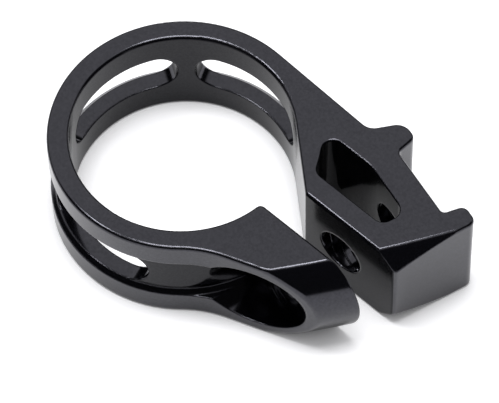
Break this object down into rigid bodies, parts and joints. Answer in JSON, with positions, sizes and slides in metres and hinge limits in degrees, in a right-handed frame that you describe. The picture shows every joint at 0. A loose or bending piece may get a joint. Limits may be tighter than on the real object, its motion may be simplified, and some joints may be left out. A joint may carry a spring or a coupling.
{
  "type": "shifter clamp",
  "caption": "Slotted ring clamp for a bicycle handlebar with a bolted gap and a windowed arm that ends in a lugged seat for a trigger shifter.",
  "frame": {"origin": "on the handlebar axis, in the plane of the lower side face", "axes": "+X along the clamp gap away from the bar, +Y across the gap from the ear to the arm, +Z along the handlebar"},
  "size_m": [0.0409, 0.0287, 0.0116],
  "materials": {
    "anodised_aluminium": "glossy black anodised"
  },
  "bodies": {
    "root": {"clamp_body": "anodised_aluminium"}
  },
  "joints": []
}
